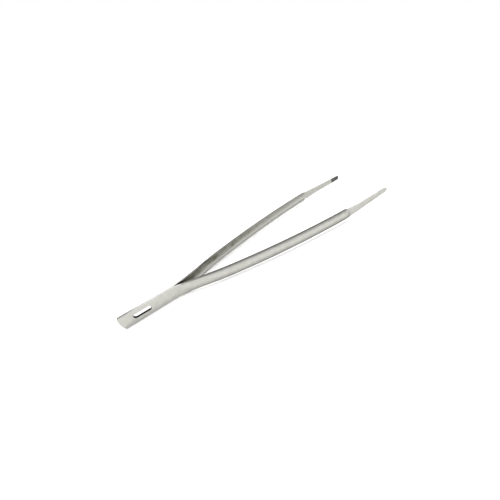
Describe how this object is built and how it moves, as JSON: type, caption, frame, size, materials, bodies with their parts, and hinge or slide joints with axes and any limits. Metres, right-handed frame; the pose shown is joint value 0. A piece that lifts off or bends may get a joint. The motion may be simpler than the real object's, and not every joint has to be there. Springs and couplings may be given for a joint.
{
  "type": "stamp tongs",
  "caption": "Sprung metal tongs for lifting stamps: flat joined tang with a hanging slot, bowed channel arms and thin round-ended spade tips.",
  "frame": {"origin": "centre of the bounding box, at the height of the lowest edge, with the tongs lying on their long edges", "axes": "+X from the rear end to the tips, +Y towards the far arm, +Z across the width of the strips"},
  "size_m": [0.12, 0.0302, 0.006],
  "materials": {
    "strip_steel": "satin, fine grain along the strip",
    "weld_steel": "fused, dull"
  },
  "bodies": {
    "handle": {"near_tang": "strip_steel", "far_tang": "strip_steel", "spot_welds": "weld_steel", "near_leaf": "strip_steel", "far_leaf": "strip_steel"},
    "near_arm": {"near_blade": "strip_steel"},
    "far_arm": {"far_blade": "strip_steel"}
  },
  "joints": [
    {"name": "near_arm_flex", "type": "hinge", "parent": "handle", "child": "near_arm", "pos_m": [-0.0335, -0.00106, 0.00302], "axis": [0, 0, 1], "range_deg": [0, 8.4], "stiffness_Nm_per_rad": 0.6, "deforming": ["near_leaf"]},
    {"name": "far_arm_flex", "type": "hinge", "parent": "handle", "child": "far_arm", "pos_m": [-0.0335, 0.00106, 0.00302], "axis": [0, 0, 1], "range_deg": [-8.4, 0], "stiffness_Nm_per_rad": 0.6, "deforming": ["far_leaf"]}
  ],
  "couplings": [
    {"joint": "far_arm_flex", "follows": "near_arm_flex", "ratio": -1}
  ]
}
